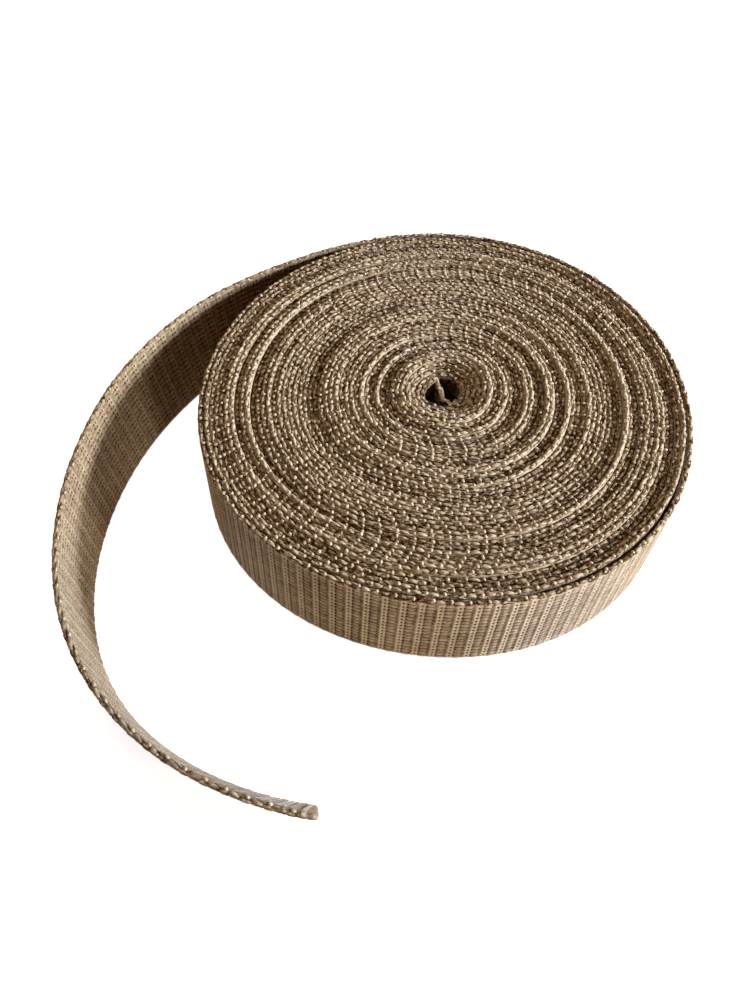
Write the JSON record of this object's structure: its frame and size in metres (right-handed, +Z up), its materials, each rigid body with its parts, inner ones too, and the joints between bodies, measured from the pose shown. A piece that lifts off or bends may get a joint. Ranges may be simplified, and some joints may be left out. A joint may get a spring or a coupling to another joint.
{
  "type": "roll of webbing",
  "caption": "Flat-lying coil of ribbed tan webbing on its edge, with a loose end curving out and standing beside it.",
  "frame": {"origin": "on the supporting surface, under the middle of the box round the roll and its loose end", "axes": "+Z up along the roll's axis, through the coil's flat side; -Y towards the viewer, where the loose end's tip lies; +X to the roll's side away from the loose end"},
  "size_m": [0.1526, 0.1724, 0.0273],
  "materials": {
    "webbing_wound": "matt woven yarn",
    "webbing_loose": "matt woven yarn"
  },
  "bodies": {
    "root": {"wound_roll": "webbing_wound", "loose_end": "webbing_loose"}
  },
  "joints": []
}
